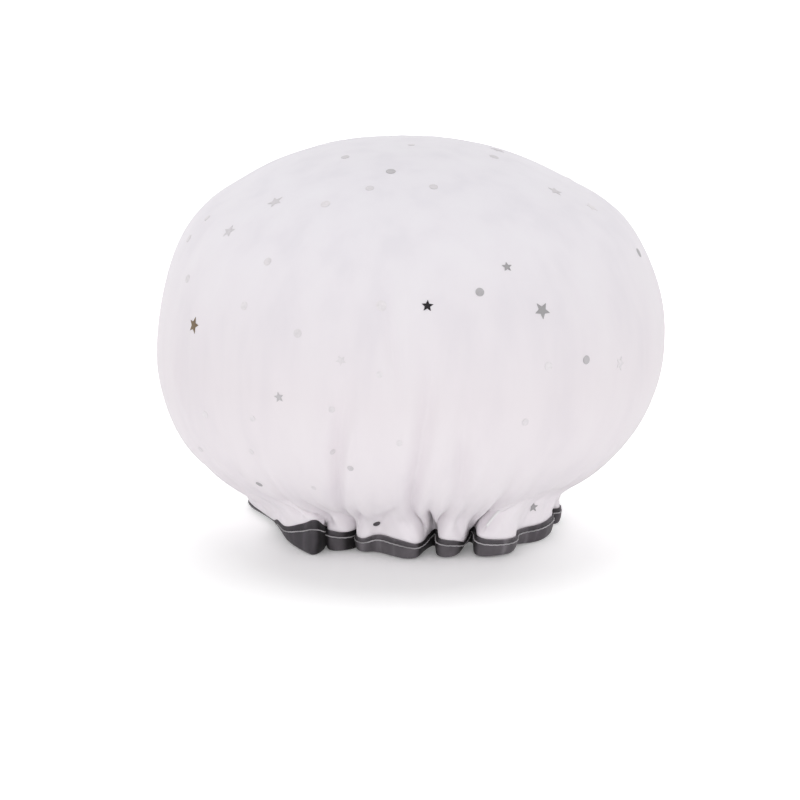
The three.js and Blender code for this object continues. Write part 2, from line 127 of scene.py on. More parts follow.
# The hem's path round the front: azimuth in degrees (0 in front, + to the right), radius of the binding's
# foot, its lift off the floor, its height, and how far the foot is tucked in under its top, in millimetres
HEM_FRONT = [
    (-105, 76, 0, 4, 1.5), (-98, 77.5, 0, 3.5, 1.5), (-92, 76, 0, 3.5, 2), (-86, 72, 0.9, 3, 3.5),
    (-79, 67, 1.3, 2.5, 5.5), (-71, 64.5, 1.4, 2.5, 6.5), (-64, 66, 1.2, 3.7, 6), (-58, 69.5, 0.8, 6.3, 5.5),
    (-53, 73, 0.5, 8.9, 4.5), (-47, 77, 0.2, 8.4, 3), (-42.5, 79.7, 0.1, 10, 2), (-38.5, 82, 0, 12.3, 0.8),
    (-35.5, 83.8, 0, 14, 0), (-33, 85.6, 0, 15.6, -0.8), (-31, 86.4, 0, 17.2, -1.4),
    (-30.9, 79.5, 0.3, 13, 0), (-32.6, 73, 0.8, 10, 1), (-32, 70.8, 0.8, 9.8, 1), (-30.6, 71.7, 0.5, 10.2, 1),
    (-29.6, 75.3, 0, 10.7, 1.5), (-28, 76, 0, 10.7, 1.5), (-26, 75, 0, 10, 1.5), (-23.5, 72, 0, 9.3, 1.5),
    (-21.3, 66.5, 0.5, 9.5, 1), (-21, 62, 1, 9.5, 0), (-19.8, 61.5, 1, 9, 0), (-20, 66, 0.5, 8, 2),
    (-19.2, 70.5, 0, 8, 2.5), (-16.5, 72.5, 0, 7.5, 2.5), (-13, 71, 0, 9, 2), (-9.5, 72.5, 0, 10, 2),
    (-5, 76.5, 0, 9.7, 2), (-0.9, 80, 0, 9.2, 2), (2, 79.5, 0.4, 7.8, 2), (5, 73, 1.5, 6, 2),
    (8, 66.5, 1.3, 7.5, 1), (11, 63, 1, 8.5, 0), (12.3, 65, 0.8, 9, 0), (11.3, 71.5, 0.5, 9.5, 1),
    (10.7, 77.5, 0, 9.5, 2), (12.3, 80, 0, 9.5, 2.5), (15, 79.5, 0, 8.8, 3), (17.5, 76, 0.5, 7, 4.5),
    (20, 70, 1.5, 5, 6), (24, 65.5, 1.5, 5.5, 3), (27.5, 63, 1, 7.5, 0), (28.2, 65.5, 0.8, 8.5, 0),
    (25.8, 73, 0.5, 9.5, 1), (23.2, 81, 0, 10, 2), (24, 84.3, 0, 9.7, 2.5), (28, 86, 0, 9, 3),
    (32.5, 86, 0, 8.6, 3), (35.5, 83.5, 0.3, 8.2, 3), (38.2, 79.5, 1.2, 8.2, 2.5), (42.5, 78.5, 0.7, 8.8, 2),
    (50, 80.5, 0, 9.3, 1.5), (57, 79, 0, 9.5, 1.5), (62, 76.5, 0.5, 9.3, 1.5), (65, 72, 1.2, 9, 1),
    (68.5, 69.5, 1, 8.5, 1), (70.3, 72.5, 0.3, 8.3, 1), (71.8, 75.2, 0, 8.3, 1), (75.5, 75, 0.1, 8.2, 1),
    (80, 71, 0.6, 8, 1), (86, 67, 1.2, 8, 1), (94, 66, 1.2, 8, 1), (102, 70, 0.3, 8, 1.5),
]
BACK_LOBE = (77.5, 0, 10, 1.5)  # the same without azimuth for the lobes and creases round the back
BACK_CREASE = (63, 1.2, 8.5, 1)
BACK_SWELL = (0.98, 1.03)  # between which the lobes' radius varies
LOBE_PLACES = (0.4, 0.62)  # where a lobe's two points lie on the way from crease to crease
SIDE_AZIMUTHS = (80, 115)  # degrees between which the front gives way to the back

# How the hem's folds fade on the way up the cloth
FOLD_FADE = 0.25  # in wavelengths of the fold
LONGEST_FADE = 14 * MM
FADE_POWER = 1.8
HEM_SWINGS = 9  # the cloth's columns follow only swings longer than a ninth of the hem
POLE_CALM = 60 * MM  # round the crown's centre, where all folds fade out

# Main gathers round the back, as in the CAD: azimuth, depth at the hem, and height up to which they run
MAIN_GATHERS = [
    (109, 7, 86), (127, 6.5, 70), (148, 7.5, 90), (165, 6.5, 72),
    (195, 6.5, 72), (211, 7.5, 88), (230, 6.5, 74), (247, 7, 84),
]
MAIN_HALF_WIDTH = 9.5 * MM
MAIN_LIFT = 0.45  # the share of their depth by which they raise the cloth
MAIN_START = 12 * MM  # distance from the binding over which they set in

# Small gathers at the hem: how many, how deep, and how far up they run
GATHERS = [(90, 1.5, 17), (66, 2.2, 28), (41, 1.5, 48), (29, 0.7, 110)]
GATHER_STRENGTH = (0.5, 1.4)  # in front and at the back
GATHER_START = 7 * MM
GATHER_FADE = 1.5
UNEVEN_WAVES = range(2, 9)  # waves round the hem that shift and swell the gathers
UNEVEN_DRIFT = 3.52
UNEVEN_SWELL = 0.22
SWELL_PITCH = 1.7
SWELL_LIMITS = (0.15, 1.9)

# Pleats between the puffs above the hem: short in front, longer round the back
PLEAT_COUNT = 68
PLEAT_DEPTH = (2.5, 12.2)  # millimetres, in front and at the back
PLEAT_RUN = (15, 60)
PLEAT_JITTER = 0.3  # how unevenly they are spaced
PLEAT_SWAY = 3  # degrees by which those at the back shift as well
DEPTH_RANGE = (0.6, 1.3)  # shares between which their depth varies
FRONT_RANGE = (0.7, 1.4)  # and how far up they run
BACK_RANGE = (0.3, 1)
PLEAT_FADE = 1.9
PLEAT_WIDENING = 0.8  # how much they widen on the way up
FRONT_WIDENING = 0.4  # the share of this that those in front have
PLEAT_HALF_WIDTH = 2.3 * MM
PLEAT_START = 6 * MM
PUFF = 1.2 * MM  # how far the cloth bulges between pleats
CALM_HEIGHT = 60 * MM  # below this the cloth lies flat under each foil
CALM_REACH = 7 * MM

# Long soft folds: azimuth at the low and the high end, distance of both ends from the binding, half-width
# and depth in millimetres; a negative depth is a ridge
LONG_FOLDS = [
    (0.5, 5, 25, 115, 4.5, 4.6),
    (-3, -4.2, 108, 146, 3.5, 2),
    (-19.3, -12.5, 28, 100, 4, 4.4),
    (13.5, 11.2, 36, 80, 3.8, 2.4),
    (27, 24, 10, 62, 7, 0.6),
    (-35, -31, 8, 54, 8, 0.5),
    (-44, -41, 78, 158, 13, 1.2),
    (41, 40, 122, 172, 9, 0.9),
    (50, 49, 122, 172, 8, 0.8),
    (-12, -10, 160, 208, 10, -0.7),
    (-54, -66, 52, 114, 7, -0.9),
    (-11, -3.5, 3, 28, 2.6, 2.6),
    (-38.5, -43, 3, 26, 4.5, 2.6),
    (-30.5, -31.5, 2, 24, 3, 2.2),
    (38, 37.5, 3, 22, 2.5, 2),
]
FOLD_WIDTHS = (0.75, 0.5)  # shares at the low end and gained on the way up
FOLD_BEYOND = 0.5  # how far it is followed past its ends
FOLD_START = (-0.3, 0.25)  # shares of its length over which it sets in
FOLD_END = (0.55, 1.25)  # and fades out
FOLD_RIDGES = 0.55  # how high the ridges on both sides of it are
FOLD_SPREAD = 1.6

# Broad dents and bulges: azimuth, distance from the binding, half-spans of both, and inward depth
DENTS = [
    (-95, 122, 40, 40, 4.5),
    (-80, 164, 34, 20, -0.2),
    (82, 160, 34, 20, -2.2),
    (-90, 216, 40, 24, 0.7),
    (90, 210, 40, 22, 0.5),
    (80, 46, 34, 24, 0.9),
    (48, 17, 11, 10, 3.5),
    (-82, 36, 34, 28, -3.0),
    (-80, 188, 34, 16, 2.2),
    (82, 190, 34, 16, 1.0),
    (0, 255, 400, 30, -2.2),
]
CROWN_LEAN = 3.0 * MM  # the crown's top leans to the left

# Slight unevenness of the cloth: scale of the noise round the cap and per metre of the way up, and strength
WRINKLES = [(3.2, 9, 1), (9, 18.9, 0.35)]
WRINKLE_DEPTH = 0.5 * MM
WRINKLE_START = 25 * MM

# Foils
FOIL_THICKNESS = 0.15 * MM
FOIL_LIFT = 0.05 * MM
FOIL_RINGS = (0.0, 0.5, 1.0)  # rings of points on the cloth, as shares of a foil's reach
STAR_POINTS = 5
STAR_WAIST = 0.45
DOT_SIDES = 14
SEARCH_START = 20 * MM  # how far outside the solid the cloth is looked for
DROP_START = 6 * MM  # the same for each point, above the cloth
DROP_REACH = 14 * MM
# Each foil's colour is painted reflection, for how much light it seems to reflect; bronze alone is a foil's
# own colour
PAINTED_FOIL_TONES = {  # colour, how metallic it still looks, and the foils that have it; all others are pale
    "darkest": ((0.016, 0.013, 0.016), 0.6, "star_06"),
    "deep": ((0.12, 0.11, 0.12), 0.6, "dot_18"),
    "dark": ((0.36, 0.35, 0.36), 0.6, "star_07 star_08 star_12"),
    "middle": ((0.45, 0.435, 0.45), 0.6, "star_11 dot_02 dot_12 dot_13 dot_14 dot_17"),
    "pale": ((0.65, 0.62, 0.645), 0.15, ""),
    "palest": ((0.735, 0.70, 0.725), 0.1, "star_09 star_10 dot_06 dot_07 dot_08 dot_09 dot_16"),
    "faint": ((0.785, 0.75, 0.775), 0.05, "star_02 dot_10 dot_11 dot_15"),
    "bronze": ((0.17, 0.12, 0.07), 0.6, "star_05"),
}
PAINTED_GLINT_RANGE = (0.85, 1.15)  # between which a foil's colour varies in patches, as painted glints and dull spots

# Faint foils: azimuth in degrees, distance from the binding and size in millimetres, and tone
FAINT_MARKS = [
    (-72, 166, 3.5, "palest"), (-24, 122, 4, "palest"), (-16, 89, 3, "palest"), (-35, 80, 3, "faint"),
    (-59, 52, 3, "palest"), (-13, 59, 3, "pale"), (-24, 42, 2.5, "faint"), (-2, 74, 3, "faint"),
    (-6, 106, 3, "faint"), (-50, 76, 3.5, "faint"), (-17, 67, 3, "palest"), (-38, 61, 3, "faint"),
    (8, 262, 3.5, "palest"),
]

# Materials
WAVE_PITCH = 0.314  # metres from crest to crest of a wave texture at scale 1
COVER_PITCH = 0.7 * MM
TWILL_PITCH = 0.55 * MM
TWILL_SLANT = math.radians(58)
TWIST_PITCH = 0.5 * MM
TWIST_SLANT = math.radians(35)
ELASTIC_PITCH = 0.6 * MM
PAINTED_TINT_SPAN = (20 * MM, 170 * MM)  # heights between which the cover's painted light changes
# The tape's grey from its top to its foot: paler worn edges, and painted shade in the strip above the stitch
# line
TAPE_GREYS_AND_SHADE = [(0.0, 0.2), (0.05, 0.085), (0.2, 0.078), (0.34, 0.112), (0.9, 0.118), (1.0, 0.16)]
TAPE_GREEN = 0.91  # how much green the tape's grey keeps
TAPE_SPAN = (-90 * MM, 90 * MM)  # from side to side, for the tape's darker ends

# Floor and light
FLOOR_SIZE = 6.0
FLOOR_COLOUR = (0.86, 0.86, 0.86)
FLOOR_GLOW = 0.14  # what the camera sees of the floor where no light falls, near the cap
FLOOR_BOUNCE = 0.14  # light that it gives off upward, beside what it reflects
# The floor's glow is painted low in an ellipse ahead of the cap, so that the cast shadow shows only there: a
# painted outline for the shadow
SHADOW_MIDDLE = (-0.0075, -0.088)
SHADOW_REACH = (0.265, 0.192)  # beyond this the floor is plain white
SHADOW_CORE = 0.19  # the share of that reach up to which the shadow is full
HORIZON_LIGHT = 1.95
ZENITH_LIGHT = 0.59
HORIZON_TOP = 0.42  # the sine of the elevation up to which its light reaches
LAMPS = {  # power in watts, side, and place
    "front": (4.0, 1.6, (0.0, -1.75, 0.25)),
    "above": (4.5, 0.9, (-0.1, 0.2, 1.5)),
}

SEED = 11
rng = np.random.default_rng(SEED)


def smooth(low, high, value):
    """Rises smoothly from 0 at low to 1 at high."""
    share = np.clip((value - low) / (high - low), 0, 1)
    return share * share * (3 - 2 * share)


def back_share(azimuth):
    """Rises from 0 in front to 1 round the back, at azimuths in degrees."""
    return smooth(*SIDE_AZIMUTHS, np.abs(azimuth))


def between(ends, share):
    return ends[0] + (ends[1] - ends[0]) * share


def unit(vectors):
    return vectors / np.maximum(np.linalg.norm(vectors, axis=-1, keepdims=True), 1e-12)


def put(name, data):
    thing = bpy.data.objects.new(name, data)
    scene.collection.objects.link(thing)
    return thing


# Camera

def make_camera():
    up = Vector((0, math.sin(CAMERA_ELEVATION), math.cos(CAMERA_ELEVATION)))
    ahead = Vector((0, math.cos(CAMERA_ELEVATION), -math.sin(CAMERA_ELEVATION)))
    aside = (PICTURE_SIDE / 2 - ORIGIN_PIXEL[0]) * PIXEL
    rise = (ORIGIN_PIXEL[1] - PICTURE_SIDE / 2) * PIXEL
    target = Vector((aside, 0, 0)) + up * rise
    data = bpy.data.cameras.new("camera")
    data.lens = data.sensor_width * CAMERA_DISTANCE / (PICTURE_SIDE * PIXEL)
    camera = put("camera", data)
    camera.location = target - ahead * CAMERA_DISTANCE
    camera.rotation_euler = (math.pi / 2 - CAMERA_ELEVATION, 0, 0)
    scene.camera = camera


# Meshes

def loft(name, sections, uv, closed=True):
    """A skin over closed sections, with its ends joined to each other or capped."""
    count, across = sections.shape[:2]
    spans = count if closed else count - 1
    i, j = np.meshgrid(np.arange(spans), np.arange(across), indexing="ij")
    corner_i = np.stack([i, i + 1, i + 1, i], axis=-1)
    corner_j = np.stack([j, j, j + 1, j + 1], axis=-1)
    faces = ((corner_i % count) * across + corner_j % across).reshape(-1, 4).tolist()
    corner_uv = uv[corner_i, corner_j].reshape(-1, 2)
    if not closed:
        faces += [list(range(across))[::-1], list(range((count - 1) * across, count * across))]
        corner_uv = np.concatenate([corner_uv, np.zeros((2 * across, 2))])
    mesh = bpy.data.meshes.new(name)
    mesh.from_pydata(sections.reshape(-1, 3).tolist(), [], faces)
    mesh.uv_layers.new(name="flat").data.foreach_set("uv", corner_uv.ravel().astype(np.float32))
    return weld(name, mesh)


def strip_uv(along, across):
    """Places on a flat strip, for the face corners of a loft."""
    return np.stack(np.broadcast_arrays(along[:, None], across[None, :]), axis=-1)


def weld(name, mesh):
    """Joins points that coincide, shades the mesh smoothly and puts it in the scene."""
    welded = bmesh.new()
    welded.from_mesh(mesh)
    bmesh.ops.remove_doubles(welded, verts=welded.verts, dist=1e-6)
    welded.to_mesh(mesh)
    welded.free()
    mesh.shade_smooth()
    return put(name, mesh)


def mark_points(piece, name, values):
    """Gives each point of a piece a value that its material reads."""
    attribute = piece.data.attributes.new(name, "FLOAT", "POINT")
    attribute.data.foreach_set("value", values.astype(np.float32))


def dress(piece, material, slot, *nodes):
    """Gives a piece its material, its place in the frame and the nodes that it replaces."""
    piece.data.materials.append(material)
    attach(piece, "root")
    if nodes:
        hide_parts(*nodes)
    return piece


# The hem's path

def back_rows():
    """A crease at every main gather, and a lobe between each and the next."""
    creases = [azimuth for azimuth, _, _ in MAIN_GATHERS]
    rows = []
    radius, *rest = BACK_LOBE
    for before, after in zip(creases, creases[1:]):
        swell = rng.uniform(*BACK_SWELL)
        rows.append((before, *BACK_CREASE))
        rows += [(before + share * (after - before), radius * swell, *rest) for share in LOBE_PLACES]
    return rows + [(creases[-1], *BACK_CREASE)]


def round_place(azimuth, radius, height):
    """A point at an azimuth from the front."""
    return np.stack([radius * np.sin(azimuth), -radius * np.cos(azimuth), height], axis=-1)


def closed_curve(points, steps=16):
    """A closed smooth curve through points, that never loops between two of them."""
    four = [np.roll(points, shift, axis=0) for shift in (1, 0, -1, -2)]
    knots = [np.zeros((len(points), 1))]
    for start, end in zip(four, four[1:]):
        knots.append(knots[-1] + np.sqrt(np.linalg.norm(end - start, axis=1, keepdims=True)))
    curve = []
    for step in range(steps):
        t = knots[1] + (knots[2] - knots[1]) * step / steps
        blended = four
        for spans in (((0, 1), (1, 2), (2, 3)), ((0, 2), (1, 3)), ((1, 2),)):
            blended = [
                ((knots[high] - t) * start + (t - knots[low]) * end) / (knots[high] - knots[low])
                for (low, high), start, end in zip(spans, blended, blended[1:])
            ]
        curve += blended
    return np.stack(curve, axis=1).reshape(-1, points.shape[1])


def way_along(path):
    """The way along a path to each of its points."""
    return np.concatenate([[0], np.cumsum(np.linalg.norm(np.diff(path, axis=0), axis=1))])


def evenly(values, along, count):
    """A closed row of values at even steps of the way along it."""
    places = np.arange(count) * along[-1] / count
    ring = np.concatenate([values, values[:1]])
    return np.stack([np.interp(places, along, column) for column in ring.T], axis=1)


def soften(values, spread):
    """Smooths a closed row of values over a number of steps."""
    waves = np.fft.rfftfreq(len(values))
    fade = np.exp(-2 * (np.pi * waves * spread) ** 2)
    return np.fft.irfft(np.fft.rfft(values, axis=0) * fade[:, None], n=len(values), axis=0)


def hem_path():
    """Foot, top and length of the binding, at even steps from the middle of the back round by the left."""
    rows = np.array(HEM_FRONT + back_rows())
    azimuth = np.radians(rows[:, 0])
    radius, lift, height, tuck = rows[:, 1:].T * MM
    foot = round_place(azimuth, radius, lift)
    top = round_place(azimuth, radius + tuck, lift + height)
    curve = closed_curve(np.concatenate([top, foot], axis=1))
    start = np.argmax(curve[:, 1] - MIDDLE_PULL * np.abs(curve[:, 0]))
    curve = np.roll(curve, -start, axis=0)
    along = way_along(np.concatenate([curve, curve[:1]])[:, :3])
    even = soften(evenly(curve, along, HEM_COLUMNS), HEM_SMOOTHING / along[-1] * HEM_COLUMNS)
    top, foot = even[:, :3], even[:, 3:]
    lean = np.linalg.norm((top - foot)[:, :2], axis=1) / np.linalg.norm(top - foot, axis=1)
    lifted = np.maximum(FOOT_LIFT * HALF_BINDING * lean - foot[:, 2], 0)[:, None] * (0, 0, 1)
    return foot + lifted, top + lifted, along[-1]


# The cloths

def cap_profile():
    """Radius and height of the smooth cap, with the distance from the binding's top along the cloth."""
    neck = BINDING_HEIGHT + NECK_RISE
    flare = np.linspace(0, 1, FLARE_STEPS)[:, None]
    bowl = np.linspace(CAP_RADIUS, HEM_RADIUS, BOWL_STEPS)
    depth = MIDDLE_HEIGHT - neck
    fall = (1 - (bowl / CAP_RADIUS) ** BOWL_FULLNESS) ** (1 / BOWL_FULLNESS)
    bowl_height = MIDDLE_HEIGHT - depth * fall / fall[-1]
    flare_end = np.array([HEM_RADIUS + NECK_FLARE, np.interp(-HEM_RADIUS - NECK_FLARE, -bowl, bowl_height)])
    corner = np.array([HEM_RADIUS, neck])
    flare_start = corner - (0, min(NECK_FLARE, NECK_RISE))
    bend = (1 - flare) ** 2 * flare_start + 2 * flare * (1 - flare) * corner + flare ** 2 * flare_end
    kept = bowl > flare_end[0]
    turn = np.linspace(0, np.pi / 2, CROWN_STEPS)[1:]
    power = 2 / CROWN_FULLNESS
    crown = CAP_RADIUS * np.cos(turn) ** power
    crown_height = MIDDLE_HEIGHT + CROWN_RISE * np.sin(turn) ** power
    radius = np.concatenate([[HEM_RADIUS], bend[:, 0], bowl[kept][::-1], crown])
    height = np.concatenate([[BINDING_HEIGHT], bend[:, 1], bowl_height[kept][::-1], crown_height])
    radius[-1] = 0
    return radius, height, way_along(np.stack([radius, height], axis=1))


CUT_RADIUS = cap_profile()[2][-1] + TUCKED_DEPTH


def cloth_rows(length):
    """Distances of the cloth's rows from the binding, closer together near it."""
    share = np.linspace(0, 1, CLOTH_ROWS)
    return length * (EVEN_ROWS * share + (1 - EVEN_ROWS) * share ** ROW_CROWDING)


def ripple(count, turn, seed):
    """Uneven waves round the hem, about so many in all."""
    drift = np.zeros_like(turn)
    swell = np.ones_like(turn)
    source = np.random.default_rng(seed)
    for wave in UNEVEN_WAVES:
        drift += source.normal(0, UNEVEN_DRIFT / wave) * np.sin(wave * turn + source.uniform(0, 2 * np.pi))
        strength = source.normal(0, UNEVEN_SWELL)
        swell += strength * np.sin(SWELL_PITCH * wave * turn + source.uniform(0, 2 * np.pi))
    return np.sin(count * turn + drift) * np.clip(swell, *SWELL_LIMITS)


# How far each kind of fold draws the cloth in, at azimuths and distances from the binding

def gather_depth(turn, away):
    depth = np.zeros(away.shape)
    strength = between(GATHER_STRENGTH, back_share(np.degrees(turn)))
    rise = smooth(0, GATHER_START, away)
    for number, (count, deep, run) in enumerate(GATHERS):
        fade = np.exp(-(away / (run * MM)) ** GATHER_FADE)
        depth += deep * MM * ripple(count, turn, SEED + number) * rise * fade * strength
    return depth


def pleat_depth(turn, away, radius):
    source = np.random.default_rng(SEED)
    depth = np.zeros(away.shape)
    for number in range(PLEAT_COUNT):
        azimuth = -180 + 360 * (number + source.uniform(-PLEAT_JITTER, PLEAT_JITTER)) / PLEAT_COUNT
        behind = back_share(azimuth)
        deep = between(PLEAT_DEPTH, behind) * source.uniform(*DEPTH_RANGE) * MM
        run = PLEAT_RUN[0] * source.uniform(*FRONT_RANGE)
        run += (PLEAT_RUN[1] - PLEAT_RUN[0]) * behind * source.uniform(*BACK_RANGE)
        climb = away / (run * MM)
        middle = math.radians(azimuth + source.uniform(-PLEAT_SWAY, PLEAT_SWAY) * behind)
        half_width = PLEAT_HALF_WIDTH * (1 + PLEAT_WIDENING * climb * (FRONT_WIDENING + behind))
        across = radius * np.sin(turn - middle) / half_width
        near = np.cos(turn - middle) > 0
        depth += (deep * np.exp(-across ** 2) * near - PUFF / PLEAT_COUNT) * np.exp(-climb ** PLEAT_FADE)
    return depth * smooth(0, PLEAT_START, away)


def main_depth(turn, height):
    """Main gathers, at heights instead of distances."""
    depth = np.zeros(turn.shape)
    for azimuth, deep, run in MAIN_GATHERS:
        across = np.angle(np.exp(1j * (turn - math.radians(azimuth)))) * HEM_RADIUS / MAIN_HALF_WIDTH
        hump = (1 + np.cos(np.pi * np.clip(across, -1, 1))) / 2
        depth += deep * MM * hump * (1 - smooth(BINDING_HEIGHT, BINDING_HEIGHT + run * MM, height))
    return depth


def calm_share(turn, away, radius):
    """Falls to 0 under the foils near the hem, where the cloth lies flat."""
    profile_height, along = cap_profile()[1:]
    below = profile_height < MIDDLE_HEIGHT
    calm = np.ones(away.shape)
    for node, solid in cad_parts.items():
        x, y, z = np.mean([corner.co for corner in solid.data.vertices], axis=0)
        if node.startswith("foil_") and z < CALM_HEIGHT:
            middle = math.atan2(x, -y)
            aside = radius * np.sin(turn - middle) / CALM_REACH
            above = (away - np.interp(z, profile_height[below], along[below])) / CALM_REACH
            near = np.cos(turn - middle) > 0
            calm *= 1 - np.exp(-(aside ** 2 + above ** 2) ** 2) * near
    return calm


def fold_depth(turn, away, radius):
    """Long folds, each a valley between two low ridges."""
    depth = np.zeros(away.shape)
    narrow, gain = FOLD_WIDTHS
    for low_azimuth, high_azimuth, start, end, half_width, deep in LONG_FOLDS:
        climb = np.clip((away / MM - start) / (end - start), -FOLD_BEYOND, 1 + FOLD_BEYOND)
        middle = np.radians(low_azimuth + (high_azimuth - low_azimuth) * climb)
        across = radius * np.sin(turn - middle) / (half_width * MM * (narrow + gain * climb))
        near = np.cos(turn - middle) > 0
        ends = smooth(*FOLD_START, climb) * (1 - smooth(*FOLD_END, climb))
        valley = (1 - FOLD_RIDGES * across ** 2) * np.exp(-across ** 2 / FOLD_SPREAD)
        depth += deep * MM * valley * ends * near
    return depth


def dent_depth(turn, away):
    depth = np.zeros(away.shape)
    for middle, height, half_turn, half_rise, deep in DENTS:
        aside = np.degrees(np.angle(np.exp(1j * (turn - math.radians(middle))))) / half_turn
        above = (away / MM - height) / half_rise
        depth += deep * MM * np.exp(-(aside ** 2 + above ** 2))
    return depth


def cloth_depth(turn, away, radius):
    """All but the main gathers."""
    gathered = pleat_depth(turn, away, radius) + gather_depth(turn, away)
    gathered *= calm_share(turn, away, radius)
    return gathered + fold_depth(turn, away, radius) + dent_depth(turn, away)


# The cloth's surface

def wrinkles(azimuth, away):
    """Slight unevenness of the cloth, drawn out along the way up."""
    rough = np.zeros(away.shape)
    for i, turn in enumerate(azimuth[:, 0]):
        across = Vector((math.sin(turn), math.cos(turn), 0))
        for j, distance in enumerate(away[0]):
            for round_scale, rise_scale, strength in WRINKLES:
                place = across * round_scale + Vector((0, 0, distance * rise_scale))
                rough[i, j] += strength * noise.noise(place)
    return rough


def column_turns(hem_plan):
    """Azimuths of the cloth's columns, which follow only the hem's long swings."""
    count = len(hem_plan)
    trend = -np.pi + 2 * np.pi * np.arange(count) / count
    wander = np.angle(hem_plan * np.exp(-1j * trend))
    return trend + soften(wander[:, None], count / HEM_SWINGS)[:, 0]


def faded_hem(top, turned_plan, away):
    """How far the hem's own folds shift and raise the cloth, the shorter ones fading sooner."""
    reach = np.fft.fft(turned_plan - HEM_RADIUS)
    lift = np.fft.fft(top[:, 2] - BINDING_HEIGHT)
    hem_length = way_along(top)[-1]
    wave_count = np.abs(np.fft.fftfreq(len(top)) * len(top))
    fade_length = np.minimum(FOLD_FADE * hem_length / np.maximum(wave_count, 1), LONGEST_FADE)
    fade = np.exp(-(away[None, :] / fade_length[:, None]) ** FADE_POWER)
    return np.fft.ifft(reach[:, None] * fade, axis=0), np.fft.ifft(lift[:, None] * fade, axis=0).real


def tucked_rows(foot, top):
    """The cloth's rows inside the binding, from its edge up."""
    sunk = np.linspace(TUCKED_DEPTH, 0, TUCKED_ROWS, endpoint=False)
    sunk = sunk / np.linalg.norm(foot - top, axis=1)[:, None]
    return top[:, None] + sunk[:, :, None] * (foot - top)[:, None]


def cloth_middle(foot, top):
    """The surface midway between the cloths, as columns from the hem's edge to the crown's centre."""
    radius, height, along = cap_profile()
    away = cloth_rows(along[-1])
    hem_plan = -top[:, 1] + 1j * top[:, 0]
    turn = column_turns(hem_plan)
    shift, raised = faded_hem(top, hem_plan * np.exp(-1j * turn), away)
    row_radius = np.interp(away, along, radius)[None, :]
    row_height = np.interp(away, along, height)[None, :]
    azimuth, distance = np.broadcast_arrays(turn[:, None], away[None, :])
    pole_fade = smooth(0, POLE_CALM, along[-1] - distance)
    drawn = cloth_depth(azimuth, distance, row_radius) * pole_fade
    drawn += WRINKLE_DEPTH * wrinkles(azimuth, distance) * smooth(0, WRINKLE_START, distance) * pole_fade
    slope = np.gradient(row_height[0], away)
    spread = np.gradient(row_radius[0], away)
    norm = np.hypot(slope, spread)
    gathered = main_depth(azimuth, row_height) * smooth(0, MAIN_START, distance)
    plan = (row_radius + shift - gathered - drawn * slope / norm) * np.exp(1j * turn)[:, None]
    rise = row_height + raised + MAIN_LIFT * gathered + drawn * spread / norm
    lean = -CROWN_LEAN * smooth(MIDDLE_HEIGHT, MIDDLE_HEIGHT + CROWN_RISE, rise)
    surface = np.stack([plan.imag + lean, -plan.real, rise], axis=-1)
    surface[:, -1] = surface[:, -1].mean(axis=0)
    return np.concatenate([tucked_rows(foot, top), surface], axis=1)


def outward(surface):
    """Outward directions of a cloth surface given as columns."""
    round_step = np.roll(surface, -1, axis=0) - np.roll(surface, 1, axis=0)
    up_step = np.gradient(surface, axis=1)
    normal = np.cross(round_step, up_step)
    normal[:, -1] = (0, 0, 1)
    return unit(normal)


def disc_coordinates(columns, rows):
    """Places on the flat disc that a cloth was cut from, for the face corners of its shell."""
    inward = np.linspace(CUT_RADIUS, 0, rows)
    reach = np.concatenate([inward, inward[::-1], inward[:1]])
    turn = 2 * np.pi * np.arange(columns + 1) / columns
    return np.stack([np.outer(np.cos(turn), reach), np.outer(np.sin(turn), reach)], axis=-1)


def cloth_tree(face):
    """One face of a cloth, for laying foils on it."""
    columns, rows = face.shape[:2]
    i, j = np.meshgrid(np.arange(columns), np.arange(rows - 1), indexing="ij")
    beside = (i + 1) % columns
    faces = np.stack([i * rows + j, beside * rows + j, beside * rows + j + 1, i * rows + j + 1], axis=-1)
    return BVHTree.FromPolygons(face.reshape(-1, 3).tolist(), faces.reshape(-1, 4).tolist())


def cloth_shell(name, middle, normal, inside, outside):
    """A closed thin cloth between two distances from the middle surface, pinched in the binding."""
    pinch = np.ones((middle.shape[1], 1))
    pinch[:TUCKED_ROWS + 1] = MOUTH_PINCH
    outer = middle + normal * outside * pinch
    inner = middle + normal * inside * pinch
    sections = np.concatenate([outer, inner[:, ::-1]], axis=1)
    return loft(name, sections, disc_coordinates(*middle.shape[:2]))


def make_cloths(foot, top):
    steps = np.arange(len(foot) + 1)
    foot = evenly(foot, steps, CLOTH_COLUMNS)
    top = evenly(top, steps, CLOTH_COLUMNS)
    middle = cloth_middle(foot, top)
    normal = outward(middle)
    gap = CLOTH_GAP / 2
    cover = cloth_shell("cover_cloth", middle, normal, gap, gap + COVER_THICKNESS)
    liner = cloth_shell("liner_film", middle, normal, -gap - LINER_THICKNESS, -gap)
    dress(cover, cover_material(), "cover_cloth", "outer_cover")
    dress(liner, liner_material(), "liner_film", "waterproof_liner")
    return cover, liner, cloth_tree(middle + normal * (gap + COVER_THICKNESS))


# The binding and what is sewn into it

def in_plan(points):
    """Points or directions seen in plan, as complex numbers."""
    return points[:, 0] + 1j * points[:, 1]


def cross(first, second):
    """The cross product of directions in plan."""
    return (np.conj(first) * second).imag


